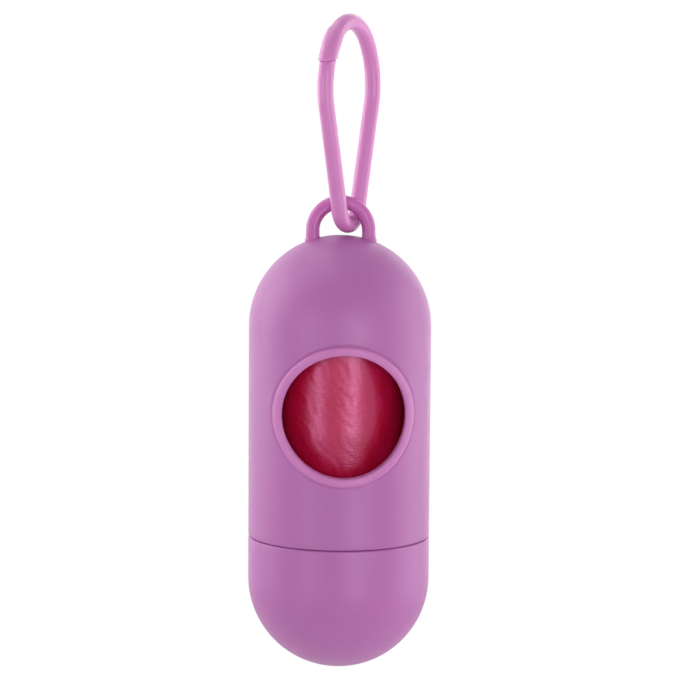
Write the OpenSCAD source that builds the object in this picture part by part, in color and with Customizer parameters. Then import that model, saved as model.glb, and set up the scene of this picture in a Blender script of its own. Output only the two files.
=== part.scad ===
// Pocket dispenser for dog waste bags: a capsule with a round window and a
// screw cap, hung on a spring clip, with a roll of bags on a cardboard core.
// Millimetres, +Z up. The origin is where the clip hangs: the underside of its crown.

/* [Bag roll] */
// Diameter of the full roll
roll_d = 30; // [24:0.5:36]
// Width of the roll, which is the folded width of the bags
roll_len = 62; // [45:1:75]
// Outer diameter of the cardboard core
core_d = 12; // [9:0.5:16]
// Wall of the cardboard core
core_wall = 1; // [0.6:0.1:1.6]
// Bags on the roll
bag_count = 15; // [5:1:20]
// Air between one bag's turns and the next
film_gap = 0.04; // [0.02:0.01:0.08]
// Running clearance of the innermost bag on the core
core_play = 0.08; // [0.05:0.01:0.1]

/* [Capsule] */
// Wall of the shell and of the cap
wall = 1.8; // [1.4:0.1:2.4]
// Room round the roll inside the cap's spigot
roll_play = 1; // [0.6:0.1:2]
// Room above the roll, before it would touch the upper dome
head_room = 13.95; // [12:0.05:30]
// Air between the roll's lower edge and the cap's dome
roll_seat_gap = 0.35; // [0.2:0.05:0.6]
// Straight part of the cap, from its dome up to the seam
cap_straight = 9.3; // [7:0.1:12]
// Open groove at the seam
seam_gap = 0.4; // [0.3:0.05:0.6]

/* [Screw thread] */
// Height of the cap's spigot above the seam
spigot_h = 7; // [5.5:0.5:9]
// Wall of the spigot
spigot_wall = 1.2; // [1:0.1:1.8]
// Space between the spigot and the shell, filled by the ridges of both
thread_space = 1; // [0.8:0.1:1.4]
// Clearance of each ridge's crest
thread_play = 0.2; // [0.15:0.05:0.3]
// Height gained in one turn
thread_lead = 6; // [5:0.5:8]
// Turns that each ridge runs
thread_turns = 0.6; // [0.4:0.05:0.7]
// Width of a ridge at its root
ridge_root_w = 1.4; // [1:0.1:1.6]
// Width of a ridge at its crest
ridge_crest_w = 0.8; // [0.6:0.1:0.9]

/* [Window] */
// Diameter of the round window
window_d = 26.6; // [18:0.2:29]
// Drop from the shoulder of the upper dome to the window's centre
window_drop = 17.46; // [15:0.5:24]
// Width of the bead round the window
bead_w = 1.8; // [1.2:0.1:2.4]
// Height of the bead above the shell
bead_h = 0.7; // [0.4:0.1:1]

/* [Hanging eye] */
// Thickness of the eye's round rod
eye_rod_d = 3; // [2.4:0.1:3.6]
// Air above the clip's rod inside the eye
eye_play = 1.7; // [1.4:0.1:3]
// Air beside the clip's rod inside the eye
eye_side_play = 0.87; // [0.8:0.05:2]
// Air between the clip's lowest point and the top of the dome
dome_gap = 0.5; // [0.3:0.05:1]

/* [Clip] */
// Length of the clip over its ends
clip_len = 47.6; // [40:0.5:60]
// Width of the clip over its sides
clip_w = 25.5; // [22:0.5:32]
// Thickness of the clip's round rod
rod_d = 3.5; // [3:0.1:4.2]
// Radius of the crown's centreline
crown_r = 9.4; // [8:0.1:9.6]
// Radius of each flank's centreline below the widest level
flank_r = 14; // [10:0.5:20]
// Extra bend radius beyond what the eye's rod needs
bend_play = 0.52; // [0.4:0.05:2]
// Drop from the top of the clip to its widest level
widest_drop = 15.95; // [14:0.5:22]
// Angle between the clip's plane and the eye's plane
clip_turn = 58.5; // [56:0.5:90]
// Distance of the clip's middle to the right of the capsule's axis
clip_shift = 1.7; // [0:0.1:1.7]
// Distance of the clip's middle behind the capsule's axis
clip_back = 0.3; // [0:0.1:0.4]

/* [Clip gate] */
// Thickness of the gate's tip inside the nose
tip_t = 1.9; // [1.4:0.1:2.2]
// Clearance of the tip inside the nose
tip_play = 0.3; // [0.2:0.05:0.4]
// Extra radius of the nose over the rod
nose_extra = 0.2; // [0.1:0.05:0.6]
// Drop from the top of the clip to the tip's end
tip_drop = 5.65; // [5.4:0.05:6.5]
// Drop from the top of the clip to the lower end of the nose
nose_drop = 9.8; // [9:0.1:11]
// Height of the flexing point above the clip's lowest point
flex_rise = 11.65; // [9:0.5:16]
// Clearance of the round seat at the flexing point
flex_play = 0.06; // [0.04:0.01:0.1]
// Diameter of the thumb nub
nub_d = 1.5; // [1:0.1:2]
// Height of the thumb nub above the clip's lowest point
nub_rise = 24.2; // [20:0.2:27]

/* [Hidden] */
BAGS = [for (i = [1:bag_count]) str("bag_", i < 10 ? "0" : "", i)];

$fn = 96;
// how far a cutting solid runs past what it cuts
over = 1;
// how far a ridge, bead or leg is sunk into the wall that carries it
root = 0.4;
// each length of rod stops this short of its end, and a round bead there joins it to the next
short = 0.04;
bead_over = 0.02;

LILAC = [0.72, 0.50, 0.70];
ROSE = [0.80, 0.50, 0.75];
CARD = [0.72, 0.60, 0.45];
CRIMSON = [0.62, 0.10, 0.26];

// roll and capsule radii, from the core outwards
roll_r = roll_d / 2;
core_r = core_d / 2;
spigot_in_r = roll_r + roll_play;
spigot_out_r = spigot_in_r + spigot_wall;
inner_r = spigot_out_r + thread_space;
outer_r = inner_r + wall;

// clip rod, and the bend that lets its arm pass the eye's rod
rod_r = rod_d / 2;
eye_rod_r = eye_rod_d / 2;
bend_r = (rod_r + eye_rod_r) / sin(clip_turn) + bend_play;

// clip levels, with the underside of the crown at zero
clip_top = rod_d;
clip_bottom = clip_top - clip_len;
widest_z = clip_top - widest_drop;
half_w = clip_w / 2 - rod_r;
crown_z = clip_top - rod_r - crown_r;
bend_z = clip_bottom + rod_r + bend_r;

// flank above the widest level: an arc that runs smoothly into the crown
rise = crown_z - widest_z;
side_r = (half_w * half_w + rise * rise - crown_r * crown_r) / (2 * (half_w - crown_r));
side_c = side_r - half_w;
side_p = [side_c, widest_z];
crown_p = [0, crown_z];
meet_a = atan2(rise, side_c);
meet = crown_r * [-cos(meet_a), sin(meet_a)] + crown_p;

// flank below it, and the straight leg that touches the flank and the bend
flank_c = half_w - flank_r;
flank_p = [-flank_c, widest_z];
leg_run = norm([flank_c, widest_z - bend_z]);
lean = acos((bend_r - flank_r) / leg_run) - atan2(widest_z - bend_z, flank_c);
leg_low = [bend_r * cos(lean), bend_z - bend_r * sin(lean)];
leg_high = [flank_c + flank_r * cos(lean), widest_z - flank_r * sin(lean)];

// the same point on the clip's other side
function across(p) = [-p[0], p[1]];

// point of the left leg about which the gate flexes
flex_z = clip_bottom + flex_rise;
flex_x = -leg_low[0] - (flex_z - leg_low[1]) * tan(lean);
flex = [flex_x, flex_z];
tip_reach = clip_top - tip_drop - flex_z;
nub_z = clip_bottom + nub_rise;
nub_x = -leg_low[0] - (nub_z - leg_low[1]) * tan(lean) + rod_r / cos(lean);

// nose of the clip: its lower end is round about the flexing point, so the gate swings clear
nose_r = rod_r + nose_extra;
nose_start_a = 24;
nose_end_a = asin((clip_top - nose_drop - widest_z) / side_r);
nose_reach = norm(side_r * [-cos(nose_end_a), sin(nose_end_a)] + side_p - flex);
cut_a = over / side_r * 180 / PI;
slot_half = tip_t / 2 + tip_play;
tip_out = slot_half - tip_play;

// capsule levels below the clip
apex_z = clip_bottom - dome_gap;
top_c_z = apex_z - outer_r;
seat_h = sqrt(inner_r * inner_r - roll_r * roll_r);
low_c_z = top_c_z - (roll_len + roll_seat_gap + head_room - 2 * seat_h);
seam_z = low_c_z + cap_straight;
roll_z = low_c_z - seat_h + roll_seat_gap;
window_z = top_c_z - window_drop;
window_r = window_d / 2;

// hanging eye
eye_in_r = clip_shift + rod_r / sin(clip_turn) + eye_side_play;
eye_r = eye_in_r + eye_rod_r;
eye_top_z = clip_bottom + rod_d + eye_play + eye_rod_r;
eye_z = eye_top_z - eye_r;

// bags: every one has the same share of the roll's end face, outermost first
bag_area = (roll_r * roll_r - core_r * core_r) / bag_count;
function bag_out_r(i) = sqrt(roll_r * roll_r - i * bag_area);
function bag_in_r(i) = bag_out_r(i + 1) + (i == bag_count - 1 ? core_play : film_gap);

// puts a shape drawn in the clip's plane where the clip hangs
module in_clip_plane() {
    rotate([0, 0, clip_turn])
        children();
}

// puts a shape drawn round the capsule's axis where the capsule hangs
module on_axis(z) {
    translate([-clip_shift, -clip_back, z])
        children();
}

// ball in the clip's plane round the point p
module plane_ball(p, r) {
    translate([p[0], 0, p[1]])
        sphere(r = r);
}

// bent rod in the clip's plane: a circle of radius r swept round the point p from angle a to b
module bent_rod(p, arc_r, a, b, r) {
    short_a = short / arc_r * 180 / PI;
    translate([p[0], 0, p[1]])
        rotate([90, 0, 0])
            rotate([0, 0, a + short_a])
                rotate_extrude(angle = b - a - 2 * short_a)
                    translate([arc_r, 0])
                        circle(r = r);
}

// straight rod in the clip's plane, from point p to point q
module straight_rod(p, q, r) {
    translate([p[0], 0, p[1]])
        rotate([0, atan2(q[0] - p[0], q[1] - p[1]), 0])
            translate([0, 0, short])
                cylinder(h = norm(q - p) - 2 * short, r = r);
}

// round beads that join lengths of rod at the given points
module joints(points, r) {
    for (p = points)
        plane_ball(p, r + bead_over);
}

// disc lying in the clip's plane round the point p
module plane_disc(p, r, thick) {
    translate([p[0], thick / 2, p[1]])
        rotate([90, 0, 0])
            cylinder(h = thick, r = r);
}

// space in which the gate's tip sits and swings, open towards the inside of the clip
module nose_slot(reach, out, thick) {
    intersection() {
        plane_disc(flex, reach, thick);
        plane_disc(side_p, side_r + out, thick);
        translate([-clip_w, -thick / 2, widest_z])
            cube([clip_w, thick, clip_top - widest_z]);
    }
}

// crown and left flank's upper arc, down to angle end_a on the flank
module left_shoulder(start_a, end_a, r) {
    bent_rod(crown_p, crown_r, start_a, 180 - meet_a, r);
    bent_rod(side_p, side_r, 180 - meet_a, 180 - end_a, r);
    joints([meet], r);
}

module clip_nose() {
    difference() {
        left_shoulder(180 - meet_a - nose_start_a, nose_end_a - cut_a, nose_r);
        plane_disc(flex, nose_reach, clip_w);
    }
}

module clip_frame() {
    color(ROSE)
        in_clip_plane() {
            difference() {
                union() {
                    bent_rod(crown_p, crown_r, meet_a, 180 - meet_a, rod_r);
                    clip_nose();
                }
                nose_slot(tip_reach + tip_play, tip_out + tip_play, 2 * slot_half);
            }
            bent_rod(across(side_p), side_r, 0, meet_a, rod_r);
            bent_rod(across(flank_p), flank_r, -lean, 0, rod_r);
            straight_rod(leg_low, leg_high, rod_r);
            bent_rod([0, bend_z], bend_r, 180 + lean, 360 - lean, rod_r);
            joints([across(meet), [half_w, widest_z], leg_high, leg_low, across(leg_low)], rod_r);
            difference() {
                straight_rod(across(leg_low), flex, rod_r);
                plane_ball(flex, rod_r + flex_play);
            }
        }
}

module gate_tip() {
    intersection() {
        left_shoulder(90, nose_end_a - 2 * cut_a, rod_r - bead_over);
        nose_slot(tip_reach, tip_out, tip_t);
    }
}

module gate_shoulder() {
    intersection() {
        bent_rod(side_p, side_r, 180 - nose_end_a - cut_a, 180, rod_r);
        plane_disc(flex, nose_reach - tip_play, clip_w);
    }
}

module clip_gate() {
    color(ROSE)
        in_clip_plane() {
            gate_tip();
            gate_shoulder();
            bent_rod(flank_p, flank_r, 180, 180 + lean, rod_r);
            straight_rod(flex, across(leg_high), rod_r);
            joints([[-half_w, widest_z], across(leg_high), flex], rod_r);
            translate([nub_x, 0, nub_z])
                sphere(d = nub_d);
        }
}

// one ridge of the thread: a four-sided section swept up a right-hand helix
module ridge(root_r, crest_r, z, start_a) {
    steps = 30;
    turn = 360 * thread_turns;
    section = [[root_r, -ridge_root_w / 2], [crest_r, -ridge_crest_w / 2],
               [crest_r, ridge_crest_w / 2], [root_r, ridge_root_w / 2]];
    sides = len(section);
    points = [for (i = [0:steps]) for (p = section)
        let (a = start_a + turn * i / steps)
        [p[0] * cos(a), p[0] * sin(a), z + p[1] + thread_lead * turn / 360 * i / steps]];
    bands = [for (i = [0:steps - 1]) for (j = [0:sides - 1])
        let (a = i * sides + j, b = i * sides + (j + 1) % sides)
        each [[a, b, b + sides], [a, b + sides, a + sides]]];
    last = steps * sides;
    ends = [[0, 3, 1], [1, 3, 2], [last, last + 1, last + 3], [last + 1, last + 2, last + 3]];
    flip = crest_r < root_r;
    polyhedron(points = points, faces = [for (f = concat(bands, ends)) flip ? [f[2], f[1], f[0]] : f]);
}

// height of the middle of a ridge's first turn, measured from the seam
shell_ridge_z = seam_gap + ridge_root_w / 2 + 0.3;
cap_ridge_z = shell_ridge_z + thread_lead / 4;

// height above a dome's centre at which the middle of its wall lies x off the axis
function mid_wall_h(x) = sqrt(pow(inner_r + wall / 2, 2) - x * x);

module hanging_eye() {
    translate([0, 0, eye_z])
        rotate([90, 0, 0])
            rotate_extrude(angle = 180)
                translate([eye_r, 0])
                    circle(r = eye_rod_r);
    leg_foot = top_c_z + mid_wall_h(eye_r);
    for (side = [-1, 1])
        translate([side * eye_r, 0, 0]) {
            translate([0, 0, leg_foot])
                cylinder(h = eye_z - leg_foot - short, r = eye_rod_r);
            translate([0, 0, eye_z])
                sphere(r = eye_rod_r + bead_over);
        }
}

// ring round the window, following the round of the shell out to the radius r
module window_ring(ring_r, r) {
    intersection() {
        translate([0, 0, window_z])
            rotate([90, 0, 0])
                cylinder(h = outer_r + bead_h + over, r = ring_r);
        translate([0, 0, window_z - outer_r])
            difference() {
                cylinder(h = 2 * outer_r, r = r);
                translate([0, 0, -over])
                    cylinder(h = 2 * (outer_r + over), r = outer_r - root);
            }
    }
}

module upper_dome() {
    difference() {
        sphere(r = outer_r);
        sphere(r = inner_r);
        translate([0, 0, -outer_r - over])
            cylinder(h = outer_r + over, r = outer_r + over);
    }
}

module body_shell() {
    color(LILAC)
        on_axis(0) {
            difference() {
                union() {
                    translate([0, 0, top_c_z])
                        upper_dome();
                    translate([0, 0, seam_z + seam_gap / 2])
                        difference() {
                            cylinder(h = top_c_z - seam_z - seam_gap / 2, r = outer_r);
                            translate([0, 0, -over])
                                cylinder(h = top_c_z - seam_z + 2 * over, r = inner_r);
                        }
                    window_ring(window_r + bead_w, outer_r + bead_h * 0.6);
                    window_ring(window_r + bead_w * 0.8, outer_r + bead_h);
                }
                translate([0, 0, window_z])
                    rotate([90, 0, 0])
                        cylinder(h = outer_r + bead_h + over, r = window_r);
            }
            hanging_eye();
            for (start = [0, 180])
                ridge(inner_r + root, spigot_out_r + thread_play, seam_z + shell_ridge_z, start);
        }
}

module screw_cap() {
    color(LILAC)
        on_axis(0) {
            difference() {
                union() {
                    translate([0, 0, low_c_z])
                        sphere(r = outer_r);
                    translate([0, 0, low_c_z])
                        cylinder(h = cap_straight - seam_gap / 2, r = outer_r);
                    translate([0, 0, low_c_z])
                        cylinder(h = cap_straight + spigot_h, r = spigot_out_r);
                }
                translate([0, 0, low_c_z])
                    sphere(r = inner_r);
                translate([0, 0, low_c_z])
                    cylinder(h = cap_straight - wall - seam_gap, r = inner_r);
                translate([0, 0, low_c_z])
                    cylinder(h = cap_straight + spigot_h + over, r = spigot_in_r);
                translate([0, 0, seam_z + spigot_h])
                    cylinder(h = outer_r + over, r = outer_r + over);
            }
            for (start = [0, 180])
                ridge(spigot_out_r - root, inner_r - thread_play, seam_z + cap_ridge_z, start);
        }
}

// plain tube standing on the roll's lower level
module sleeve(out_r, in_r) {
    on_axis(roll_z)
        difference() {
            cylinder(h = roll_len, r = out_r);
            translate([0, 0, -over])
                cylinder(h = roll_len + 2 * over, r = in_r);
        }
}

module roll_core() {
    color(CARD)
        sleeve(core_r, core_r - core_wall);
}

module bag(i) {
    color(CRIMSON)
        sleeve(bag_out_r(i), bag_in_r(i));
}

clip_frame();
clip_gate();
body_shell();
screw_cap();
roll_core();
for (i = [0:len(BAGS) - 1])
    bag(i);
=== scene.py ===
"""Looks of a pocket dispenser for dog waste bags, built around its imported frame.

A lilac capsule with a round window and a screw cap hangs by its eye on a spring clip, and holds
a roll of crimson film bags on a cardboard core. All sizes in metres are worked out from the
frame's own boxes and from the millimetre sizes that the dataclasses below hold.
"""
import logging
import math
from collections.abc import Callable, Sequence
from dataclasses import dataclass, field
from enum import Enum

import bmesh
import bpy
import numpy as np
from mathutils import Matrix, Vector


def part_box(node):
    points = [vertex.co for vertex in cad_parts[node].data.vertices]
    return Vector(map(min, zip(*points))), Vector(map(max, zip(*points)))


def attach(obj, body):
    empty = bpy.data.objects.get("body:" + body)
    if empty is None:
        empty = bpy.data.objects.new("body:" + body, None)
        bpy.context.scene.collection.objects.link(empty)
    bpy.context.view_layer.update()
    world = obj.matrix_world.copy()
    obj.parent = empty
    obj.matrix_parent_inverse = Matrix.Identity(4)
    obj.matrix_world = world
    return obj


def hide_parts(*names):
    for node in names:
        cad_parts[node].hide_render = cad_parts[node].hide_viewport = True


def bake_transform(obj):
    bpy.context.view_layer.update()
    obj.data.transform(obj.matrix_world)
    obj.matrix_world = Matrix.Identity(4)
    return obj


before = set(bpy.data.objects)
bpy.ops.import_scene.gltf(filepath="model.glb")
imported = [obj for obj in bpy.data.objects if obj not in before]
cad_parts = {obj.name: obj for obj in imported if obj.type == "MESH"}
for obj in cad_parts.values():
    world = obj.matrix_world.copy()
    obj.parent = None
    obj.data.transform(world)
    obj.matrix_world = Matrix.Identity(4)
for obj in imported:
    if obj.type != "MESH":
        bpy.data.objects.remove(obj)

LOG = logging.getLogger("dispenser")
MM = 0.001
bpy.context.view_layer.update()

Point = tuple[float, float, float]
Colour = tuple[float, float, float]


class Body(Enum):
    """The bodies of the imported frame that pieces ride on."""

    CLIP = "clip"
    GATE = "gate"
    SHELL = "shell"
    CAP = "cap"
    ROLL = "roll"


class Slot(Enum):
    """Names of the record's material slots; no piece here takes its finish from them."""

    CLIP = "clip_plastic"
    BODY = "body_plastic"
    CAP = "cap_plastic"
    FILM = "bag_film"


# --------------------------------------------------------------------------- shader maths


class Value:
    """A number in a shader: wraps an output socket, and its operators add Math nodes."""

    def __init__(self, graph: "Graph", socket: bpy.types.NodeSocket) -> None:
        """Keeps the graph and the socket that carries the number."""
        self.graph = graph
        self.socket = socket

    def __add__(self, other: "Value | float") -> "Value":
        """Sum."""
        return self.graph.maths("ADD", self, other)

    def __radd__(self, other: float) -> "Value":
        """Sum with a number on the left."""
        return self.graph.maths("ADD", other, self)

    def __sub__(self, other: "Value | float") -> "Value":
        """Difference."""
        return self.graph.maths("SUBTRACT", self, other)

    def __rsub__(self, other: float) -> "Value":
        """Difference with a number on the left."""
        return self.graph.maths("SUBTRACT", other, self)

    def __mul__(self, other: "Value | float") -> "Value":
        """Product."""
        return self.graph.maths("MULTIPLY", self, other)

    def __rmul__(self, other: float) -> "Value":
        """Product with a number on the left."""
        return self.graph.maths("MULTIPLY", other, self)

    def step(self, low: float, high: float) -> "Value":
        """Smooth ramp from 0 at low to 1 at high.

        Args:
            low: The number at which the ramp leaves 0.
            high: The number at which it reaches 1.

        Returns:
            The ramp's value.
        """
        node = self.graph.node(
            "ShaderNodeMapRange",
            {"interpolation_type": "SMOOTHSTEP"},
            {"Value": self, "From Min": low, "From Max": high},
        )
        return Value(self.graph, node.outputs["Result"])


Feed = Value | bpy.types.NodeSocket | float | Sequence[float]


class Graph:
    """The node tree of a material or of the world, with short ways to add nodes to it."""

    def __init__(
        self, owner: bpy.types.Material | bpy.types.World, output: str = "ShaderNodeOutputMaterial"
    ) -> None:
        """Empties the owner's node tree and adds its output.

        Args:
            owner: The material or world whose tree this is.
            output: Blender's name for the output node's type.
        """
        owner.use_nodes = True
        self.owner = owner
        self.tree = owner.node_tree
        self.tree.nodes.clear()
        self.output = self.node(output)

    def node(
        self,
        kind: str,
        settings: dict[str, object] | None = None,
        feeds: dict[str | int, Feed] | None = None,
    ) -> bpy.types.Node:
        """Adds a node, sets it, then fills or links its inputs.

        Args:
            kind: Blender's name for the node's type.
            settings: The node's own properties.
            feeds: A value or a link for each named or numbered input.

        Returns:
            The new node.
        """
        node = self.tree.nodes.new(kind)
        for key, value in (settings or {}).items():
            setattr(node, key, value)
        for key, value in (feeds or {}).items():
            self.feed(node.inputs[key], value)
        return node

    def feed(self, socket: bpy.types.NodeSocket, value: Feed) -> None:
        """Links a socket to another, or sets its number, vector or colour.

        Args:
            socket: The input that is filled.
            value: A link, a number, a vector, or a colour with or without its alpha.
        """
        if isinstance(value, Value):
            self.tree.links.new(value.socket, socket)
        elif isinstance(value, bpy.types.NodeSocket):
            self.tree.links.new(value, socket)
        elif socket.type == "RGBA" and len(value) == 3:
            socket.default_value = (*value, 1.0)
        else:
            socket.default_value = value

    def maths(self, operation: str, first: Value | float, second: Value | float = 0.0) -> Value:
        """Adds one Math node and returns its result."""
        node = self.node("ShaderNodeMath", {"operation": operation}, {0: first, 1: second})
        return Value(self, node.outputs[0])

    def seen(self) -> Value:
        """Tells the rays that show the surroundings from those that only light a surface.

        Returns:
            1 for a ray from the camera, a mirror or clear glass, else 0.
        """
        rays = self.node("ShaderNodeLightPath")
        camera, glossy, clear = (
            Value(self, rays.outputs[f"Is {kind} Ray"])
            for kind in ("Camera", "Glossy", "Transmission")
        )
        return self.maths("MINIMUM", camera + glossy + clear, 1.0)

    def place(self) -> bpy.types.NodeSocket:
        """The point on the piece, in its own metres."""
        return self.node("ShaderNodeTexCoord").outputs["Object"]

    def axes(self) -> tuple[Value, Value, Value]:
        """The point's x, y and z as numbers."""
        split = self.node("ShaderNodeSeparateXYZ", feeds={0: self.place()})
        return tuple(Value(self, split.outputs[i]) for i in range(3))

    def scaled(self, factors: Sequence[float]) -> bpy.types.NodeSocket:
        """The point with each axis multiplied, for a pattern that is drawn out one way."""
        node = self.node(
            "ShaderNodeVectorMath", {"operation": "MULTIPLY"}, {0: self.place(), 1: factors}
        )
        return node.outputs[0]

    def noise(
        self,
        scale: float,
        detail: float = 2.0,
        vector: bpy.types.NodeSocket | None = None,
        distortion: float = 0.0,
    ) -> Value:
        """Noise from 0 to 1.

        Args:
            scale: Blotches per metre.
            detail: Octaves of finer noise.
            vector: The place to sample, or None for the point itself.
            distortion: How far the noise bends its own place.

        Returns:
            The noise's value.
        """
        node = self.node(
            "ShaderNodeTexNoise",
            feeds={
                "Vector": vector or self.place(),
                "Scale": scale,
                "Detail": detail,
                "Distortion": distortion,
            },
        )
        return Value(self, node.outputs["Fac"])

    def mix(self, factor: Feed, first: Feed, second: Feed) -> bpy.types.NodeSocket:
        """Colour between two colours."""
        node = self.node("ShaderNodeMix", {"data_type": "RGBA"}, {0: factor, 6: first, 7: second})
        return node.outputs[2]

    def bump(self, height: Value, strength: float, distance: float) -> bpy.types.NodeSocket:
        """Normal bent by a height, where a height of 1 is a relief of the distance in metres."""
        node = self.node(
            "ShaderNodeBump", feeds={"Strength": strength, "Distance": distance, "Height": height}
        )
        return node.outputs["Normal"]

    def surface(self, feeds: dict[str, Feed], kind: str = "ShaderNodeBsdfPrincipled") -> None:
        """Adds a shader with these inputs and links it to the output."""
        self.feed(self.output.inputs["Surface"], self.node(kind, feeds=feeds).outputs[0])


# --------------------------------------------------------------------------- finishes


@dataclass(frozen=True)
class PaintedRimHighlight:
    """Painted highlight: a paler ring round a front-to-back axis, where a thin edge catches light.
    """

    colour: Colour
    x: float
    z: float
    radius: float
    soft: float = 0.1 * MM
    depth: float = 1.0 * MM

    def share(self, graph: Graph) -> Value:
        """Share of the painted highlight's colour at each point.

        Args:
            graph: The material's node tree.

        Returns:
            1 inside the radius on the front half, else 0, with a soft edge.
        """
        x, y, z = graph.axes()
        away = graph.maths("SQRT", (x - self.x) * (x - self.x) + (z - self.z) * (z - self.z))
        return (1.0 - away.step(self.radius - self.soft, self.radius + self.soft)) * (
            1.0 - y.step(-self.depth, self.depth)
        )


@dataclass(frozen=True)
class MouldedPlastic:
    """Satin or glossy moulded plastic with soft mottling and a fine mould grain."""

    name: str
    colour: Colour
    deep: Colour
    roughness: float = 0.42
    gloss: float = 0.0
    glow: float = 0.0
    ior: float = 1.46
    grain: float = 0.25
    relief: float = 0.02 * MM
    mottle_scale: float = 60.0
    grain_scale: float = 2600.0
    wear_scale: float = 420.0
    wear_range: float = 0.16
    coat_roughness: float = 0.14
    coat_ior: float = 1.4
    glow_radius: Colour = (1.0, 0.45, 0.8)
    glow_scale: float = 1.2 * MM
    # rim: a painted highlight ring on the base colour, for light that a thin edge catches.
    rim: PaintedRimHighlight | None = None

    def make(self) -> bpy.types.Material:
        """Builds the material.

        Returns:
            The new material.
        """
        graph = Graph(bpy.data.materials.new(self.name))
        mottle = graph.noise(self.mottle_scale, 3.0)
        fine = graph.noise(self.grain_scale, 2.0)
        wear = graph.noise(self.wear_scale, 4.0)
        colour = graph.mix(mottle.step(0.3, 0.7) * 0.5, self.colour, self.deep)
        # Painted highlight: the ring's paler colour stands in for light that the window's bead
        # catches.
        if self.rim:
            colour = graph.mix(self.rim.share(graph), colour, self.rim.colour)
        roughness = self.roughness + (wear - 0.5) * self.wear_range
        feeds: dict[str | int, Feed] = {
            "Base Color": colour,
            "Roughness": roughness,
            "Normal": graph.bump(fine + wear * 0.6, self.grain, self.relief),
            "IOR": self.ior,
        }
        if self.gloss:
            feeds["Coat Weight"] = self.gloss
            feeds["Coat Roughness"] = self.coat_roughness
            feeds["Coat IOR"] = self.coat_ior
        if self.glow:
            feeds["Subsurface Weight"] = self.glow
            feeds["Subsurface Radius"] = self.glow_radius
            feeds["Subsurface Scale"] = self.glow_scale
        graph.surface(feeds)
        return graph.owner


@dataclass(frozen=True)
class WoundFilm:
    """Thin glossy polyethylene film, wound in many layers, with fine creases across it.

    The shading's normal, not the mesh, turns away by the slope past the ebb, a distance to the
    right in metres, until the end of the span. Below the droop, a level, it turns down.
    """

    name: str
    colour: Colour
    # deep: darker crimson, painted as shade in the low parts of the broad folds.
    deep: Colour
    ebb: float = 4.0 * MM
    span: float = 2.4 * MM
    droop: float = -87.0 * MM
    slope: float = 2500.0
    soft: float = 1.6 * MM
    crease_scale: float = 1500.0
    fold_scale: float = 260.0
    relief: float = 0.1 * MM
    roughness: float = 0.3
    ior: float = 1.5
    sheen: Colour = (0.8, 0.55, 1.0)

    def hinge(self, graph: Graph, past: Value) -> Value:
        """The length past a bend, or 0 before it, with the bend smoothed."""
        return (past + graph.maths("SQRT", past * past + self.soft**2)) * 0.5

    def make(self) -> bpy.types.Material:
        """Builds the material.

        Returns:
            The new material.
        """
        graph = Graph(bpy.data.materials.new(self.name))
        fine = graph.noise(self.crease_scale, 4.0, graph.scaled((0.4, 0.4, 1.0)), 1.6)
        broad_folds_and_shade = graph.noise(self.fold_scale, 3.0, graph.scaled((1.0, 1.0, 0.4)), 0.4)
        # Uneven crimson tone; the deeper crimson is painted shade, laid where the broad folds sink.
        colour = graph.mix(broad_folds_and_shade.step(0.35, 0.65), self.deep, self.colour)
        x, _, z = graph.axes()
        past = self.hinge(graph, x - self.ebb) - self.hinge(graph, x - (self.ebb + self.span))
        below = self.hinge(graph, self.droop - z)
        height = fine * 0.8 + broad_folds_and_shade - (past + below) * self.slope
        graph.surface(
            {
                "Base Color": colour,
                "Roughness": self.roughness + (fine - 0.5) * 0.2,
                "Normal": graph.bump(height, 0.6, self.relief),
                "IOR": self.ior,
                "Specular IOR Level": 1.0,
                "Specular Tint": self.sheen,
            }
        )
        return graph.owner


@dataclass(frozen=True)
class Cardboard:
    """Plain grey-brown card with fibres."""

    name: str
    colour: Colour
    deep: Colour
    fibre_scale: float = 1500.0
    roughness: float = 0.85
    relief: float = 0.06 * MM

    def make(self) -> bpy.types.Material:
        """Builds the material.

        Returns:
            The new material.
        """
        graph = Graph(bpy.data.materials.new(self.name))
        fibres = graph.noise(self.fibre_scale, 5.0, graph.scaled((1.0, 1.0, 0.25)))
        colour = graph.mix(fibres.step(0.35, 0.7), self.colour, self.deep)
        graph.surface(
            {
                "Base Color": colour,
                "Roughness": self.roughness + (fibres - 0.5) * 0.2,
                "Normal": graph.bump(fibres, 0.5, self.relief),
            }
        )
        return graph.owner


@dataclass(frozen=True)
class StudioWhite:
    """Pale floor that shows white to the camera and still takes a soft shadow."""

    name: str
    share: float = 0.8
    colour: Colour = (0.86, 0.86, 0.86)

    def make(self) -> bpy.types.Material:
        """Builds the material.

        Returns:
            The new material.
        """
        graph = Graph(bpy.data.materials.new(self.name))
        matt = graph.node("ShaderNodeBsdfDiffuse", feeds={"Color": self.colour})
        white = graph.node("ShaderNodeEmission", feeds={"Color": (1, 1, 1), "Strength": 1.0})
        graph.surface(
            {0: graph.seen() * self.share, 1: matt.outputs[0], 2: white.outputs[0]},
            "ShaderNodeMixShader",
        )
        return graph.owner


# --------------------------------------------------------------------------- mesh tools


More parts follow.
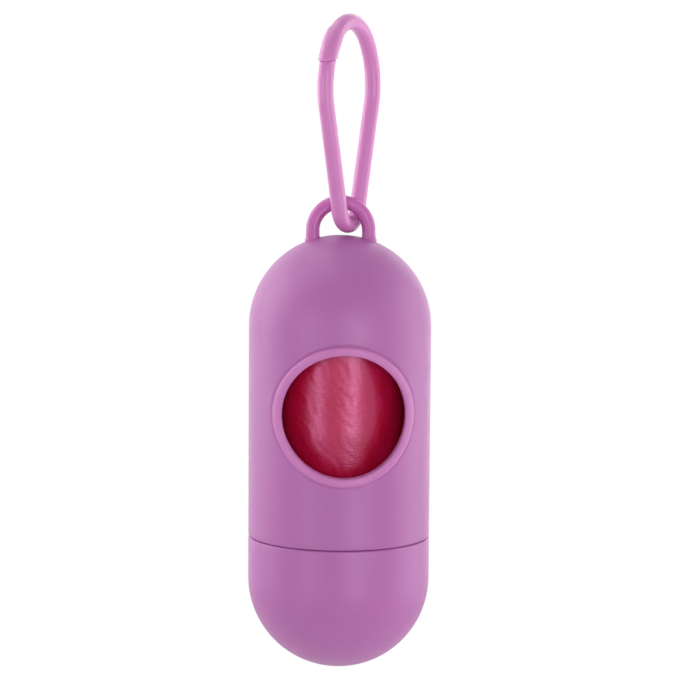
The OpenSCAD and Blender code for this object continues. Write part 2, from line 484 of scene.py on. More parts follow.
def add_object(
    name: str,
    points: Sequence[Sequence[float]] | np.ndarray,
    faces: Sequence[Sequence[int]],
    material: bpy.types.Material,
    sharp: float = 40.0,
) -> bpy.types.Object:
    """Makes a smooth-shaded mesh object from points in metres.

    Args:
        name: The piece's name.
        points: Corner points in the row frame.
        faces: Corner numbers of each face.
        material: The finish of the whole piece.
        sharp: Angle in degrees above which an edge is drawn sharp.

    Returns:
        The new object, linked to the scene.
    """
    mesh = bpy.data.meshes.new(name)
    mesh.from_pydata([tuple(map(float, p)) for p in points], [], [tuple(f) for f in faces])
    work = bmesh.new()
    work.from_mesh(mesh)
    bmesh.ops.remove_doubles(work, verts=work.verts, dist=1e-7)
    bmesh.ops.dissolve_degenerate(work, edges=work.edges, dist=1e-8)
    bmesh.ops.recalc_face_normals(work, faces=work.faces)
    work.to_mesh(mesh)
    work.free()
    mesh.materials.append(material)
    mesh.shade_smooth()
    mesh.set_sharp_from_angle(angle=math.radians(sharp))
    obj = bpy.data.objects.new(name, mesh)
    bpy.context.collection.objects.link(obj)
    return obj


def grid_faces(rows: int, columns: int, closed: bool, start: int = 0) -> list[tuple[int, ...]]:
    """Faces of a grid of points stored row after row.

    Args:
        rows: Number of rows.
        columns: Points in each row.
        closed: Whether each row's last point joins its first.
        start: Number of the grid's first point.

    Returns:
        The corner numbers of each four-sided face.
    """
    span = columns if closed else columns - 1
    return [
        (
            start + r * columns + c,
            start + r * columns + (c + 1) % columns,
            start + (r + 1) * columns + (c + 1) % columns,
            start + (r + 1) * columns + c,
        )
        for r in range(rows - 1)
        for c in range(span)
    ]


def join(objects: Sequence[bpy.types.Object]) -> bpy.types.Object:
    """Joins mesh objects into the first one.

    Args:
        objects: The objects in order. All but the first are removed.

    Returns:
        The first object, with all the meshes.
    """
    target = objects[0]
    work = bmesh.new()
    for obj in objects:
        work.from_mesh(obj.data)
    work.to_mesh(target.data)
    work.free()
    for obj in objects[1:]:
        bpy.data.objects.remove(obj)
    return target


Section = Callable[[int, float], tuple[float, float, float]]


@dataclass
class Sweep:
    """A section swept along a path, with capped ends.

    The section is asked for each station and angle, and gives the offsets along the path's
    inward normal, along the binormal and along the path itself, in millimetres.
    """

    path: np.ndarray
    inward: np.ndarray
    binormal: np.ndarray
    section: Section
    sides: int = 32

    def build(self) -> tuple[np.ndarray, list[tuple[int, ...]]]:
        """Works out the swept surface.

        Returns:
            Points in millimetres, and the corner numbers of each face.
        """
        angles = np.linspace(0, 2 * math.pi, self.sides, endpoint=False)
        forward = np.cross(self.binormal, self.inward)
        points = []
        for station in range(len(self.path)):
            for angle in angles:
                u, v, w = self.section(station, angle)
                points.append(
                    self.path[station]
                    + self.inward[station] * u
                    + self.binormal[station] * v
                    + forward[station] * w
                )
        rows = len(self.path)
        faces = grid_faces(rows, self.sides, True)
        faces.append(tuple(range(self.sides)))
        faces.append(tuple(range((rows - 1) * self.sides, rows * self.sides)))
        return np.array(points), faces


# --------------------------------------------------------------------------- the capsule


@dataclass
class Capsule:
    """Shell with its window, bead and eye, and the screw cap below it. Sizes in millimetres."""

    shell_finish: bpy.types.Material
    cap_finish: bpy.types.Material
    eye_finish: bpy.types.Material
    outer_r: float = 20.0
    wall: float = 1.8
    window_r: float = 13.3
    window_drop: float = 17.46
    bead_w: float = 1.8
    bead_h: float = 0.7
    eye_rod_r: float = 1.5
    eye_r: float = 6.1225
    eye_height: float = 8.7
    flare: float = 0.28
    flare_fall: float = 0.4
    groove: tuple[tuple[float, float], ...] = ((0.02, 0.1), (0.14, 0.16), (0.3, 0.13))
    outer_rings: tuple[float, ...] = (0.5, 0.8, 1.2, 1.7)
    inner_rings: tuple[float, ...] = (0.0, 0.5, 1.5)
    seam_gap: float = 0.4
    edge_r: float = 0.45
    chamfer: float = 0.3
    lead_in: float = 0.35
    root_round: float = 0.25
    step_round: float = 0.2
    spigot_out_r: float = 17.2
    spigot_in_r: float = 16.0
    thread_play: float = 0.2
    thread_lead: float = 6.0
    thread_turns: float = 0.6
    ridge_root_half: float = 0.7
    ridge_crest_half: float = 0.4
    ridge_bite: float = 0.3
    ridge_thin: float = 0.35
    shell_lift: float = 1.4
    cap_lift: float = 2.9
    sharp: float = 50.0
    arc_rows: int = 44
    columns: int = 192
    patch_half_h: float = 17.0
    patch_rows: int = 52
    x: float = field(init=False)
    y: float = field(init=False)
    seam_z: float = field(init=False)
    top_z: float = field(init=False)
    low_z: float = field(init=False)
    eye_top: float = field(init=False)
    spigot_top: float = field(init=False)

    def __post_init__(self) -> None:
        """Reads where the capsule stands from the frame's boxes."""
        low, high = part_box("screw_cap")
        _, shell_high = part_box("body_shell")
        self.x = (low.x + high.x) / 2 / MM
        self.y = (low.y + high.y) / 2 / MM
        self.low_z = low.z / MM + self.outer_r
        self.spigot_top = high.z / MM
        self.seam_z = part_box("body_shell")[0].z / MM - self.seam_gap / 2
        self.eye_top = shell_high.z / MM - self.eye_rod_r
        self.top_z = self.eye_top + self.eye_rod_r - self.eye_height - self.outer_r

    @property
    def inner_r(self) -> float:
        """Radius of the hollow."""
        return self.outer_r - self.wall

    @property
    def window_z(self) -> float:
        """Level of the window's centre."""
        return self.top_z - self.window_drop

    def point(self, theta: float, z: float, r: float) -> Point:
        """A point of the capsule in metres, at angle theta from the window's side."""
        return (
            (self.x + r * math.sin(theta)) * MM,
            (self.y - r * math.cos(theta)) * MM,
            z * MM,
        )

    def revolve(
        self, profile: Sequence[tuple[float, float]], skip: Callable[[int, int], bool]
    ) -> tuple[list[Point], list[tuple[int, ...]]]:
        """Turns a profile of (radius, level) pairs round the axis.

        Args:
            profile: The pairs in order; a radius of zero makes a pole.
            skip: Says for a row and a column whether the face is left out.

        Returns:
            Points in metres and faces.
        """
        n = self.columns
        points = [
            self.point(2 * math.pi * c / n - math.pi, z, r) for r, z in profile for c in range(n)
        ]
        faces = [
            f
            for i, f in enumerate(grid_faces(len(profile), n, True))
            if not skip(i // n, i % n)
        ]
        return points, faces

    def patch(
        self, r: float, rings: Sequence[tuple[float, float]]
    ) -> tuple[list[Point], list[tuple[int, ...]], int]:
        """Surface between the window and the rectangle that the turned wall leaves out.

        Args:
            r: Radius of the wall's surface.
            rings: (distance from the window's edge, height over the surface) pairs.

        Returns:
            Points in metres, faces, and the number of points in each ring.
        """
        half_c = self.columns // 4
        top = [(2 * math.pi * c / self.columns, self.patch_half_h) for c in range(-half_c, half_c)]
        rows = [
            self.patch_half_h * (1 - 2 * k / self.patch_rows) for k in range(self.patch_rows)
        ]
        right = [(math.pi / 2, z) for z in rows]
        rim = top + right + [(-a, -z) for a, z in top] + [(-a, -z) for a, z in right]
        span = math.pi / 2 * r
        points: list[Point] = []
        circle = []
        for a, z in rim:
            u, v = a * r / span, z / self.patch_half_h
            circle.append(math.atan2(v, u))
        for gap, height in rings:
            reach = self.window_r + gap
            for turn in circle:
                theta = math.asin(reach * math.cos(turn) / r)
                points.append(
                    self.point(theta, self.window_z + reach * math.sin(turn), r + height)
                )
        reach = self.window_r + rings[-1][0]
        steps = 9
        for k in range(1, steps + 1):
            t = k / steps
            for turn, (a, z) in zip(circle, rim, strict=True):
                theta = math.asin(reach * math.cos(turn) / r) * (1 - t) + a * t
                level = reach * math.sin(turn) * (1 - t) + z * t
                points.append(self.point(theta, self.window_z + level, r))
        return points, grid_faces(len(rings) + steps, len(rim), True), len(rim)

    def dome(self, centre: float, side: int) -> list[tuple[float, float]]:
        """(radius, level) pairs from a dome's pole to its wall, above centre (1) or below (-1)."""
        angles = [math.pi / 2 * i / self.arc_rows for i in range(self.arc_rows + 1)]
        return [
            (self.outer_r * math.sin(a), centre + side * self.outer_r * math.cos(a)) for a in angles
        ]

    def rounded_edge(self, level: float, side: int) -> list[tuple[float, float]]:
        """(radius, level) pairs round an edge whose wall runs up (1) or down (-1) from level."""
        return [
            (
                self.outer_r - self.edge_r * (1 - math.cos(a)),
                level + side * self.edge_r * (1 - math.sin(a)),
            )
            for a in np.linspace(0, math.pi / 2, 7)[1:]
        ]

    def shell_profiles(self) -> tuple[list[tuple[float, float]], int]:
        """Profile of the shell's outer wall, from its pole down to its rounded lower edge.

        Returns:
            (radius, level) pairs, and the row at which the window's rectangle starts.
        """
        outer = self.dome(self.top_z, 1)
        first = self.window_z + self.patch_half_h
        rows = [
            first - 2 * self.patch_half_h * k / self.patch_rows for k in range(self.patch_rows + 1)
        ]
        outer += [(self.outer_r, z) for z in rows]
        tail = 10
        low = rows[-1]
        outer += [
            (self.outer_r, low + (self.seam_z + self.edge_r - low) * k / tail)
            for k in range(1, tail + 1)
        ]
        return outer, self.arc_rows + 1

    def make_shell(self) -> bpy.types.Object:
        """Builds the shell with its window, bead and thread.

        Returns:
            The shell as an object.
        """
        outer, start = self.shell_profiles()
        bottom = self.seam_z
        edge = self.rounded_edge(bottom, 1)
        inner = [(self.inner_r, z) for r, z in outer[::-1] if r >= self.outer_r - 1e-9]
        shrink = self.inner_r / self.outer_r
        inner += [
            (r * shrink, self.top_z + (z - self.top_z) * shrink)
            for r, z in outer[self.arc_rows - 1 :: -1]
        ]
        chamfer = [(self.inner_r + self.chamfer, bottom), (self.inner_r, bottom + self.chamfer)]
        profile = [*outer, *edge, *chamfer, *inner]
        quarter = self.columns // 4
        turned = len(outer) + len(edge) + len(chamfer)
        mirror_first = turned + (len(outer) - 1 - (start + self.patch_rows))

        def skip(row: int, column: int) -> bool:
            """Leaves the window's rectangle out of the outer and the inner wall.

            Args:
                row: Row of the face on the profile.
                column: Its place round the axis.

            Returns:
                Whether the face is left out.
            """
            front = quarter <= column < 3 * quarter
            outside = start <= row < start + self.patch_rows
            inside = mirror_first <= row < mirror_first + self.patch_rows
            return front and (outside or inside)

        points, faces = self.revolve(profile, skip)
        half = self.bead_w / 2
        bead = [
            (half * (1 - math.cos(a)), self.bead_h * math.sin(a) ** 0.5)
            for a in np.linspace(0, math.pi, 21)[:-1]
        ]
        bead += [(self.bead_w + k, -d) for k, d in self.groove]
        beyond = [(self.bead_w + k, 0.0) for k in self.outer_rings]
        outer_points, outer_faces, count = self.patch(self.outer_r, bead + beyond)
        inside = [(k, 0.0) for k in self.inner_rings]
        inner_points, inner_faces, _ = self.patch(self.inner_r, inside)
        base = len(points)
        points += outer_points
        faces += [tuple(i + base for i in f) for f in outer_faces]
        second = len(points)
        points += inner_points
        faces += [tuple(i + second for i in f) for f in inner_faces]
        faces += [
            (base + c, base + (c + 1) % count, second + (c + 1) % count, second + c)
            for c in range(count)
        ]
        shell = add_object("capsule_shell", points, faces, self.shell_finish, self.sharp)
        root, crest = self.inner_r + self.ridge_bite, self.spigot_out_r + self.thread_play
        ridges = [
            self.ridge("shell_ridge", root, crest, self.shell_lift, a) for a in (0.0, math.pi)
        ]
        shell = join([shell, *ridges])
        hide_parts("body_shell")
        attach(shell, Body.SHELL.value)
        return shell

    def ridge(
        self, name: str, root: float, crest: float, lift: float, start: float
    ) -> bpy.types.Object:
        """One ridge of the right-hand thread, with tapered ends.

        Args:
            name: Name of the mesh.
            root: Radius inside the wall.
            crest: Radius of its crest.
            lift: Level of its start above the seam.
            start: Angle at which it starts.

        Returns:
            The ridge as an object.
        """
        steps = 60
        wide, slim = self.ridge_root_half, self.ridge_crest_half
        section = [(root, -wide), (crest, -slim), (crest, slim), (root, wide)]
        points = []
        for i in range(steps + 1):
            t = i / steps
            fade = min(1.0, 8 * t, 8 * (1 - t))
            a = start + 2 * math.pi * self.thread_turns * t
            z = self.seam_z + lift + self.thread_lead * self.thread_turns * t
            for r, w in section:
                depth = root + (r - root) * (self.ridge_thin + (1 - self.ridge_thin) * fade)
                points.append(
                    (
                        (self.x + depth * math.cos(a)) * MM,
                        (self.y + depth * math.sin(a)) * MM,
                        (z + w) * MM,
                    )
                )
        faces = grid_faces(steps + 1, 4, True)
        faces += [tuple(range(4)), tuple(steps * 4 + k for k in range(4))]
        return add_object(name, points, faces, self.shell_finish)

    def make_eye(self) -> bpy.types.Object:
        """Builds the hanging eye, flared where its legs grow out of the dome.

        Returns:
            The eye as an object.
        """
        foot = self.top_z + math.sqrt((self.outer_r - self.wall / 2) ** 2 - self.eye_r**2)
        skin = self.top_z + math.sqrt(self.outer_r**2 - self.eye_r**2)
        centre = self.eye_top - self.eye_r
        levels = np.concatenate(
            [np.linspace(foot, skin + 1.2, 14), np.linspace(skin + 1.5, centre, 4)]
        )
        arch = np.linspace(0, math.pi, 49)[1:-1]
        path = [(-self.eye_r, z) for z in levels]
        path += [(-self.eye_r * math.cos(a), centre + self.eye_r * math.sin(a)) for a in arch]
        path += [(self.eye_r, z) for z in levels[::-1]]
        line = np.array([(self.x + u, self.y, z) for u, z in path])
        tangent = np.gradient(line, axis=0)
        tangent /= np.linalg.norm(tangent, axis=1)[:, None]
        side = np.tile([0.0, 1.0, 0.0], (len(line), 1))
        normal = np.cross(tangent, side)
        above = np.maximum(0.0, np.array([z for _, z in path]) - skin)
        radius = self.eye_rod_r + self.flare * np.exp(-above / self.flare_fall)

        def section(station: int, angle: float) -> tuple[float, float, float]:
            """Round section with the flare's radius."""
            r = radius[station]
            return r * math.cos(angle), r * math.sin(angle), 0.0

        points, faces = Sweep(line, normal, side, section, 32).build()
        eye = add_object("hanging_eye", points * MM, faces, self.eye_finish)
        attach(eye, Body.SHELL.value)
        return eye

    def make_cap(self) -> bpy.types.Object:
        """Builds the cap with its spigot and thread.

        Returns:
            The cap as an object.
        """
        top = self.seam_z - self.seam_gap / 4
        inner_top = self.seam_z - self.wall - self.seam_gap
        outer = self.dome(self.low_z, -1)
        straight = 12
        outer += [
            (self.outer_r, self.low_z + (top - self.edge_r - self.low_z) * k / straight)
            for k in range(1, straight + 1)
        ]
        outer += self.rounded_edge(top, -1)
        rim = [
            (self.spigot_out_r + self.root_round, top),
            (self.spigot_out_r, top + self.root_round),
            (self.spigot_out_r, self.spigot_top - self.lead_in),
            (self.spigot_out_r - self.lead_in, self.spigot_top),
            (self.spigot_in_r + self.chamfer, self.spigot_top),
            (self.spigot_in_r, self.spigot_top - self.chamfer),
            (self.spigot_in_r, inner_top + self.chamfer),
            (self.spigot_in_r + self.chamfer, inner_top),
            (self.inner_r - self.step_round, inner_top),
            (self.inner_r, inner_top - self.step_round),
        ]
        inside = [
            (self.inner_r * math.cos(a), self.low_z - self.inner_r * math.sin(a))
            for a in (math.pi / 2 * i / self.arc_rows for i in range(self.arc_rows + 1))
        ]
        points, faces = self.revolve([*outer, *rim, *inside], lambda row, column: False)
        cap = add_object("screw_cap_dome", points, faces, self.cap_finish, self.sharp)
        root, crest = self.spigot_out_r - self.ridge_bite, self.inner_r - self.thread_play
        ridges = [self.ridge("cap_ridge", root, crest, self.cap_lift, a) for a in (0.0, math.pi)]
        cap = join([cap, *ridges])
        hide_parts("screw_cap")
        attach(cap, Body.CAP.value)
        return cap


# --------------------------------------------------------------------------- the clip


@dataclass
class Clip:
    """Spring clip: one rod of round section, bent in a plane turned from the window's side.

    Sizes in millimetres. Points in the clip's plane are pairs of a distance to the right of
    its middle and a level. The left arm is the gate, and flexes near its foot.
    """

    finish: bpy.types.Material
    length: float = 47.6
    width: float = 25.5
    rod_r: float = 1.75
    eye_rod_r: float = 1.5
    bend_play: float = 0.52
    bend_swell: float = 0.05
    crown_r: float = 9.4
    flank_r: float = 14.0
    widest_drop: float = 15.95
    turn: float = 58.5
    nose_r: float = 1.95
    nose_drop: float = 9.8
    nose_start: float = 13.0
    nose_ramp: float = 2.5
    pad_h: float = 0.2
    pad_edge: float = 106.0
    pad_corner: float = 0.8
    pad_ease: float = 0.35
    rim_round: float = 0.2
    tip_half: float = 0.95
    tip_drop: float = 5.65
    tip_round: float = 0.35
    tip_root: float = 1.5
    slot_sweep: tuple[float, float] = (88.0, 110.0)
    play: float = 0.3
    seam: float = 0.09
    shy: float = 0.01
    flex_rise: float = 11.65
    nub_rise: float = 24.2
    nub_r: float = 0.75
    end_run: float = 1.6
    swell_run: float = 6.0
    blend_half: float = 5.5
    sharp: float = 35.0

    def __post_init__(self) -> None:
        """Works out the arcs of the rod's middle line in the clip's plane."""
        turn = math.radians(self.turn)
        self.along = np.array([math.cos(turn), math.sin(turn), 0.0])
        self.across = np.array([math.sin(turn), -math.cos(turn), 0.0])
        self.top = 2 * self.rod_r
        self.bottom = self.top - self.length
        self.widest = self.top - self.widest_drop
        self.half_w = self.width / 2 - self.rod_r
        self.crown_z = self.top - self.rod_r - self.crown_r
        self.bend_r = (self.rod_r + self.eye_rod_r) / math.sin(turn) + self.bend_play
        self.bend_z = self.bottom + self.rod_r + self.bend_r
        rise = self.crown_z - self.widest
        self.side_r = (self.half_w**2 + rise**2 - self.crown_r**2) / (
            2 * (self.half_w - self.crown_r)
        )
        self.side_c = self.side_r - self.half_w
        self.meet = math.atan2(rise, self.side_c)
        self.flank_c = self.half_w - self.flank_r
        run = math.hypot(self.flank_c, self.widest - self.bend_z)
        self.lean = math.acos((self.bend_r - self.flank_r) / run) - math.atan2(
            self.widest - self.bend_z, self.flank_c
        )
        self.leg_low = (
            self.bend_r * math.cos(self.lean),
            self.bend_z - self.bend_r * math.sin(self.lean),
        )
        self.leg_high = (
            self.flank_c + self.flank_r * math.cos(self.lean),
            self.widest - self.flank_r * math.sin(self.lean),
        )
        flex_z = self.bottom + self.flex_rise
        self.flex = (self.left_leg(flex_z), flex_z)
        self.nose_end = math.asin((self.top - self.nose_drop - self.widest) / self.side_r)
        end = (
            self.side_c - self.side_r * math.cos(self.nose_end),
            self.widest + self.side_r * math.sin(self.nose_end),
        )
        self.nose_reach = math.dist(end, self.flex)
        self.tip_reach = self.top - self.tip_drop - flex_z

    def left_leg(self, z: float) -> float:
        """Distance of the left leg's middle line at a level."""
        return -self.leg_low[0] - (z - self.leg_low[1]) * math.tan(self.lean)

    def space(self, c: float, z: float, v: float = 0.0) -> np.ndarray:
        """A point of the clip's plane, or one v off it, in metres in the row frame."""
        return (self.along * c + self.across * v + np.array([0.0, 0.0, z])) * MM

    @staticmethod
    def left(p: tuple[float, float]) -> tuple[float, float]:
        """The same point on the clip's left side."""
        return (-p[0], p[1])

    @staticmethod
    def arc(
        centre: tuple[float, float], r: float, a: float, b: float, step: float = 0.25
    ) -> list[tuple[float, float]]:
        """Points on an arc in the clip's plane, from angle a to b in radians."""
        count = max(2, int(abs(b - a) * r / step) + 1)
        return [
            (centre[0] + r * math.cos(t), centre[1] + r * math.sin(t))
            for t in np.linspace(a, b, count)
        ]

    @staticmethod
    def line(
        p: tuple[float, float], q: tuple[float, float], step: float = 0.35
    ) -> list[tuple[float, float]]:
        """Points on a straight stretch in the clip's plane."""
        count = max(2, int(math.dist(p, q) / step) + 1)
        return [tuple(v) for v in np.linspace(p, q, count)]

    @staticmethod
    def chain(parts: Sequence[Sequence[tuple[float, float]]]) -> np.ndarray:
        """Joins stretches of the middle line, leaving out points that repeat.

        Args:
            parts: The stretches in order, each a row of points in the clip's plane.

        Returns:
            All the points, one to a row.
        """
        out: list[tuple[float, float]] = []
        for part in parts:
            for p in part:
                if not out or math.dist(out[-1], p) > 1e-4:
                    out.append(p)
        return np.array(out)

    def end_angle(self, inward: float, reach: float) -> float:
        """Angle on the left flank at which a line along the rod meets a circle round the flex.

        Args:
            inward: Offset of the line from the rod's middle towards the inside of the clip.
            reach: Radius of the circle round the flexing point.

        Returns:
            The angle above the flank's widest level, in radians.
        """
        rho = self.side_r - inward
        dc, dz = self.flex[0] - self.side_c, self.flex[1] - self.widest
        far = math.hypot(dc, dz)
        between = math.acos((rho**2 + far**2 - reach**2) / (2 * rho * far))
        return between - math.atan2(-dz, -dc)

    def sweep(
        self, name: str, middle: np.ndarray, section: Section, sides: int
    ) -> bpy.types.Object:
        """Sweeps a section along a middle line in the clip's plane.

        Args:
            name: The piece's name.
            middle: Points of the middle line.
            section: Offsets towards the inside of the clip, across its plane and along it.
            sides: Points round the section.

        Returns:
            The swept object.
        """
        line = middle[:, :1] * self.along + middle[:, 1:] * np.array([0.0, 0.0, 1.0])
        tangent = np.gradient(line, axis=0)
        tangent /= np.linalg.norm(tangent, axis=1)[:, None]
        side = np.tile(self.across, (len(line), 1))
        inward = np.cross(tangent, side)
        points, faces = Sweep(line, inward, side, section, sides).build()
        return add_object(name, points * MM, faces, self.finish, self.sharp)

    def swell(self, z: float) -> float:
        """Radius of the rod at a level: it grows a little towards the bend."""
        share = min(1.0, max(0.0, (self.leg_low[1] + self.swell_run - z) / self.swell_run))
        return self.rod_r + self.bend_swell * share * share * (3 - 2 * share)

    @staticmethod
    def inset(left: float, r: float) -> float:
        """How far a rim rounded by r draws in, at a length left before the rod's end."""
        return r - math.sqrt(max(0.0, r * r - max(0.0, r - left) ** 2))

    @staticmethod
    def lengths(middle: np.ndarray) -> np.ndarray:
        """Length along the middle line up to each of its points."""
        return np.concatenate([[0], np.cumsum(np.linalg.norm(np.diff(middle, axis=0), axis=1))])

    def make_hook(self) -> bpy.types.Object:
        """Builds the crown with its nose, the right arm and the bend.

        Returns:
            The hook as an object.
        """
        foot = self.left(self.leg_low)
        middle = self.chain(
            [
                self.arc(
                    (self.side_c, self.widest),
                    self.side_r,
                    math.pi - self.nose_end,
                    math.pi - self.meet,
                    0.15,
                ),
                self.arc((0, self.crown_z), self.crown_r, math.pi - self.meet, self.meet, 0.2),
                self.arc((-self.side_c, self.widest), self.side_r, self.meet, 0),
                self.arc((self.flank_c, self.widest), self.flank_r, 0, -self.lean),
                self.line(self.leg_high, self.leg_low),
                self.arc((0, self.bend_z), self.bend_r, -self.lean, -math.pi + self.lean, 0.2),
                self.line(foot, (self.left_leg(foot[1] + 1), foot[1] + 1)),
            ]
        )
        turn = math.pi - self.meet - math.radians(self.nose_start)
        shoulder = (self.crown_r * math.cos(turn), self.crown_z + self.crown_r * math.sin(turn))
        run = self.lengths(middle)
        start = run[int(np.argmin(np.linalg.norm(middle - shoulder, axis=1)))]

        def section(station: int, angle: float) -> tuple[float, float, float]:
            """Round section, wider along the nose, whose lower end follows the gate's swing.

            Args:
                station: Number of the point on the middle line.
                angle: Angle round the rod from the inside of the clip, in radians.

            Returns:
                Offsets towards the inside of the clip, across its plane and along the rod.
            """
            r = self.swell(middle[station][1])
            nose = (start + 0.5 - run[station]) / self.nose_ramp
            r += (self.nose_r - r) * min(1.0, max(0.0, nose))
            r += self.pad(start - run[station], angle)
            r -= self.inset(run[station], self.rim_round)
            u = r * math.cos(angle)
            fade = max(0.0, 1 - run[station] / self.end_run)
            slide = (self.end_angle(u, self.nose_reach) - self.nose_end) * (self.side_r - u)
            return u, r * math.sin(angle), slide * fade

        hook = self.sweep("clip_hook", middle, section, 80)
        self.cut_slot(hook)
        hook.data.set_sharp_from_angle(angle=math.radians(self.sharp))
        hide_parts("clip_frame")
        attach(hook, Body.CLIP.value)
        return hook

    def pad(self, below: float, angle: float) -> float:
        """Height of the nose's raised outer side, with rounded upper corners.

        Args:
            below: Length along the rod from the nose's shoulder down to the section.
            angle: Angle round the section from the inside of the clip, in radians.

        Returns:
            The height over the nose's own radius, in millimetres.
        """
        turn = math.degrees(abs((angle + math.pi) % (2 * math.pi) - math.pi))
        edge = math.radians(turn - self.pad_edge) * self.nose_r
        left = below - self.inset(edge, self.pad_corner)
        if edge <= 0 or left <= 0:
            return 0.0
        return self.pad_h * math.sqrt(1 - (1 - min(1.0, left / self.pad_ease)) ** 2)

    def cut_slot(self, hook: bpy.types.Object) -> None:
        """Cuts the space in the nose in which the arm's tip sits.

        Args:
            hook: The swept hook, whose mesh gets the slot.
        """
        slot = self.tip_half + self.play
        reach = self.tip_reach + self.play
        wall_r = self.side_r + slot
        outline: list[tuple[float, float]] = []
        for t in np.linspace(*map(math.radians, self.slot_sweep), 120):
            p = (self.flex[0] + reach * math.cos(t), self.flex[1] + reach * math.sin(t))
            if math.dist(p, (self.side_c, self.widest)) > wall_r:
                break
            outline.append(p)
        start = math.atan2(outline[-1][1] - self.widest, outline[-1][0] - self.side_c)
        outline += self.arc(
            (self.side_c, self.widest), wall_r, start, math.pi - self.nose_end / 2, 0.3
        )[1:]
        outline.append((outline[0][0], outline[-1][1]))
        points = [self.space(c, z, v) for v in (-slot, slot) for c, z in outline]
        n = len(outline)
        faces = [tuple(range(n)), tuple(range(n, 2 * n))]
        faces += [(i, (i + 1) % n, n + (i + 1) % n, n + i) for i in range(n)]
        cutter = add_object("slot_cutter", points, faces, self.finish)
        modifier = hook.modifiers.new("slot", "BOOLEAN")
        modifier.operation = "DIFFERENCE"
        modifier.solver = "EXACT"
        modifier.object = cutter
        bpy.context.view_layer.update()
        result = bpy.data.meshes.new_from_object(
            hook.evaluated_get(bpy.context.evaluated_depsgraph_get())
        )
        hook.modifiers.clear()
        hook.data = result
        bpy.data.objects.remove(cutter)

    def make_arm(self) -> bpy.types.Object:
        """Builds the left arm that flexes, from above the bend to its flat tip in the nose.

        Returns:
            The arm as an object.
        """
        arm = join([self.arm_rod(), self.arm_tip(), self.make_nub()])
        arm.data.set_sharp_from_angle(angle=math.radians(self.sharp))
        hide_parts("clip_gate")
        up = np.array([-math.sin(self.lean), math.cos(self.lean)]) * self.blend_half
        tuple(self.space(self.flex[0] - up[0], self.flex[1] - up[1]))
        tuple(self.space(self.flex[0] + up[0], self.flex[1] + up[1]))
        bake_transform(arm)
        return arm

    def arm_rod(self) -> bpy.types.Object:
        """Builds the arm's round rod, whose top end follows its own swing.

        Returns:
            The rod as an object.
        """
        middle = self.chain(
            [
                self.line(self.left(self.leg_low), self.left(self.leg_high)),
                self.arc(
                    (-self.flank_c, self.widest), self.flank_r, math.pi + self.lean, math.pi
                ),
                self.arc(
                    (self.side_c, self.widest),
                    self.side_r,
                    math.pi,
                    math.pi - self.nose_end,
                    0.15,
                ),
            ]
        )
        run = self.lengths(middle)
        reach = self.nose_reach - self.seam

        def section(station: int, angle: float) -> tuple[float, float, float]:
            """Round section with a softly rounded rim at the top.

            Args:
                station: Number of the point on the middle line.
                angle: Angle round the rod from the inside of the clip, in radians.

            Returns:
                Offsets towards the inside of the clip, across its plane and along the rod.
            """
            left = run[-1] - run[station]
            r = self.swell(middle[station][1]) - self.shy
            r -= self.inset(left, self.rim_round)
            u = r * math.cos(angle)
            fade = max(0.0, 1 - left / self.end_run)
            slide = (self.end_angle(u, reach) - self.nose_end) * (self.side_r - u)
            return u, r * math.sin(angle), slide * fade

        return self.sweep("clip_arm", middle, section, 40)

    def arm_tip(self) -> bpy.types.Object:
        """Builds the arm's flat tip, with a rounded end.

        Returns:
            The tip as an object.
        """
        last = self.end_angle(0.0, self.tip_reach)
        middle = self.chain(
            [
                self.arc(
                    (self.side_c, self.widest),
                    self.side_r,
                    math.pi - self.nose_end + self.tip_root / self.side_r,
                    math.pi - last,
                    0.15,
                )
            ]
        )
        run = self.lengths(middle)

        def section(station: int, angle: float) -> tuple[float, float, float]:
            """Round section clamped to the tip's flat width and to its outer limit.

            Args:
                station: Number of the point on the middle line.
                angle: Angle round the tip from the inside of the clip, in radians.

            Returns:
                Offsets towards the inside of the clip, across its plane and along the tip.
            """
            left = run[-1] - run[station]
            shrink = self.inset(left, self.tip_round)
            r = self.rod_r - 2 * self.shy
            u = max(-self.tip_half, r * math.cos(angle))
            v = max(-self.tip_half, min(self.tip_half, r * math.sin(angle)))
            u -= math.copysign(min(abs(u), shrink), u)
            v -= math.copysign(min(abs(v), shrink), v)
            fade = max(0.0, 1 - left / self.end_run)
            rho = self.side_r - u
            return u, v, (self.end_angle(u, self.tip_reach) - last) * rho * fade

        return self.sweep("clip_tip", middle, section, 48)

    def make_nub(self) -> bpy.types.Object:
        """Builds the small thumb nub on the arm's inner side.

        Returns:
            The nub as an object.
        """
        z = self.bottom + self.nub_rise
        c = self.left_leg(z) + self.rod_r / math.cos(self.lean)
        rings, sides = 12, 24
        points = []
        for i in range(rings + 1):
            a = math.pi * i / rings
            for k in range(sides):
                b = 2 * math.pi * k / sides
                out = self.nub_r * math.sin(a)
                level = z + self.nub_r * math.cos(a)
                points.append(self.space(c + out * math.cos(b), level, out * math.sin(b)))
        return add_object("clip_nub", points, grid_faces(rings + 1, sides, True), self.finish)


# --------------------------------------------------------------------------- the roll


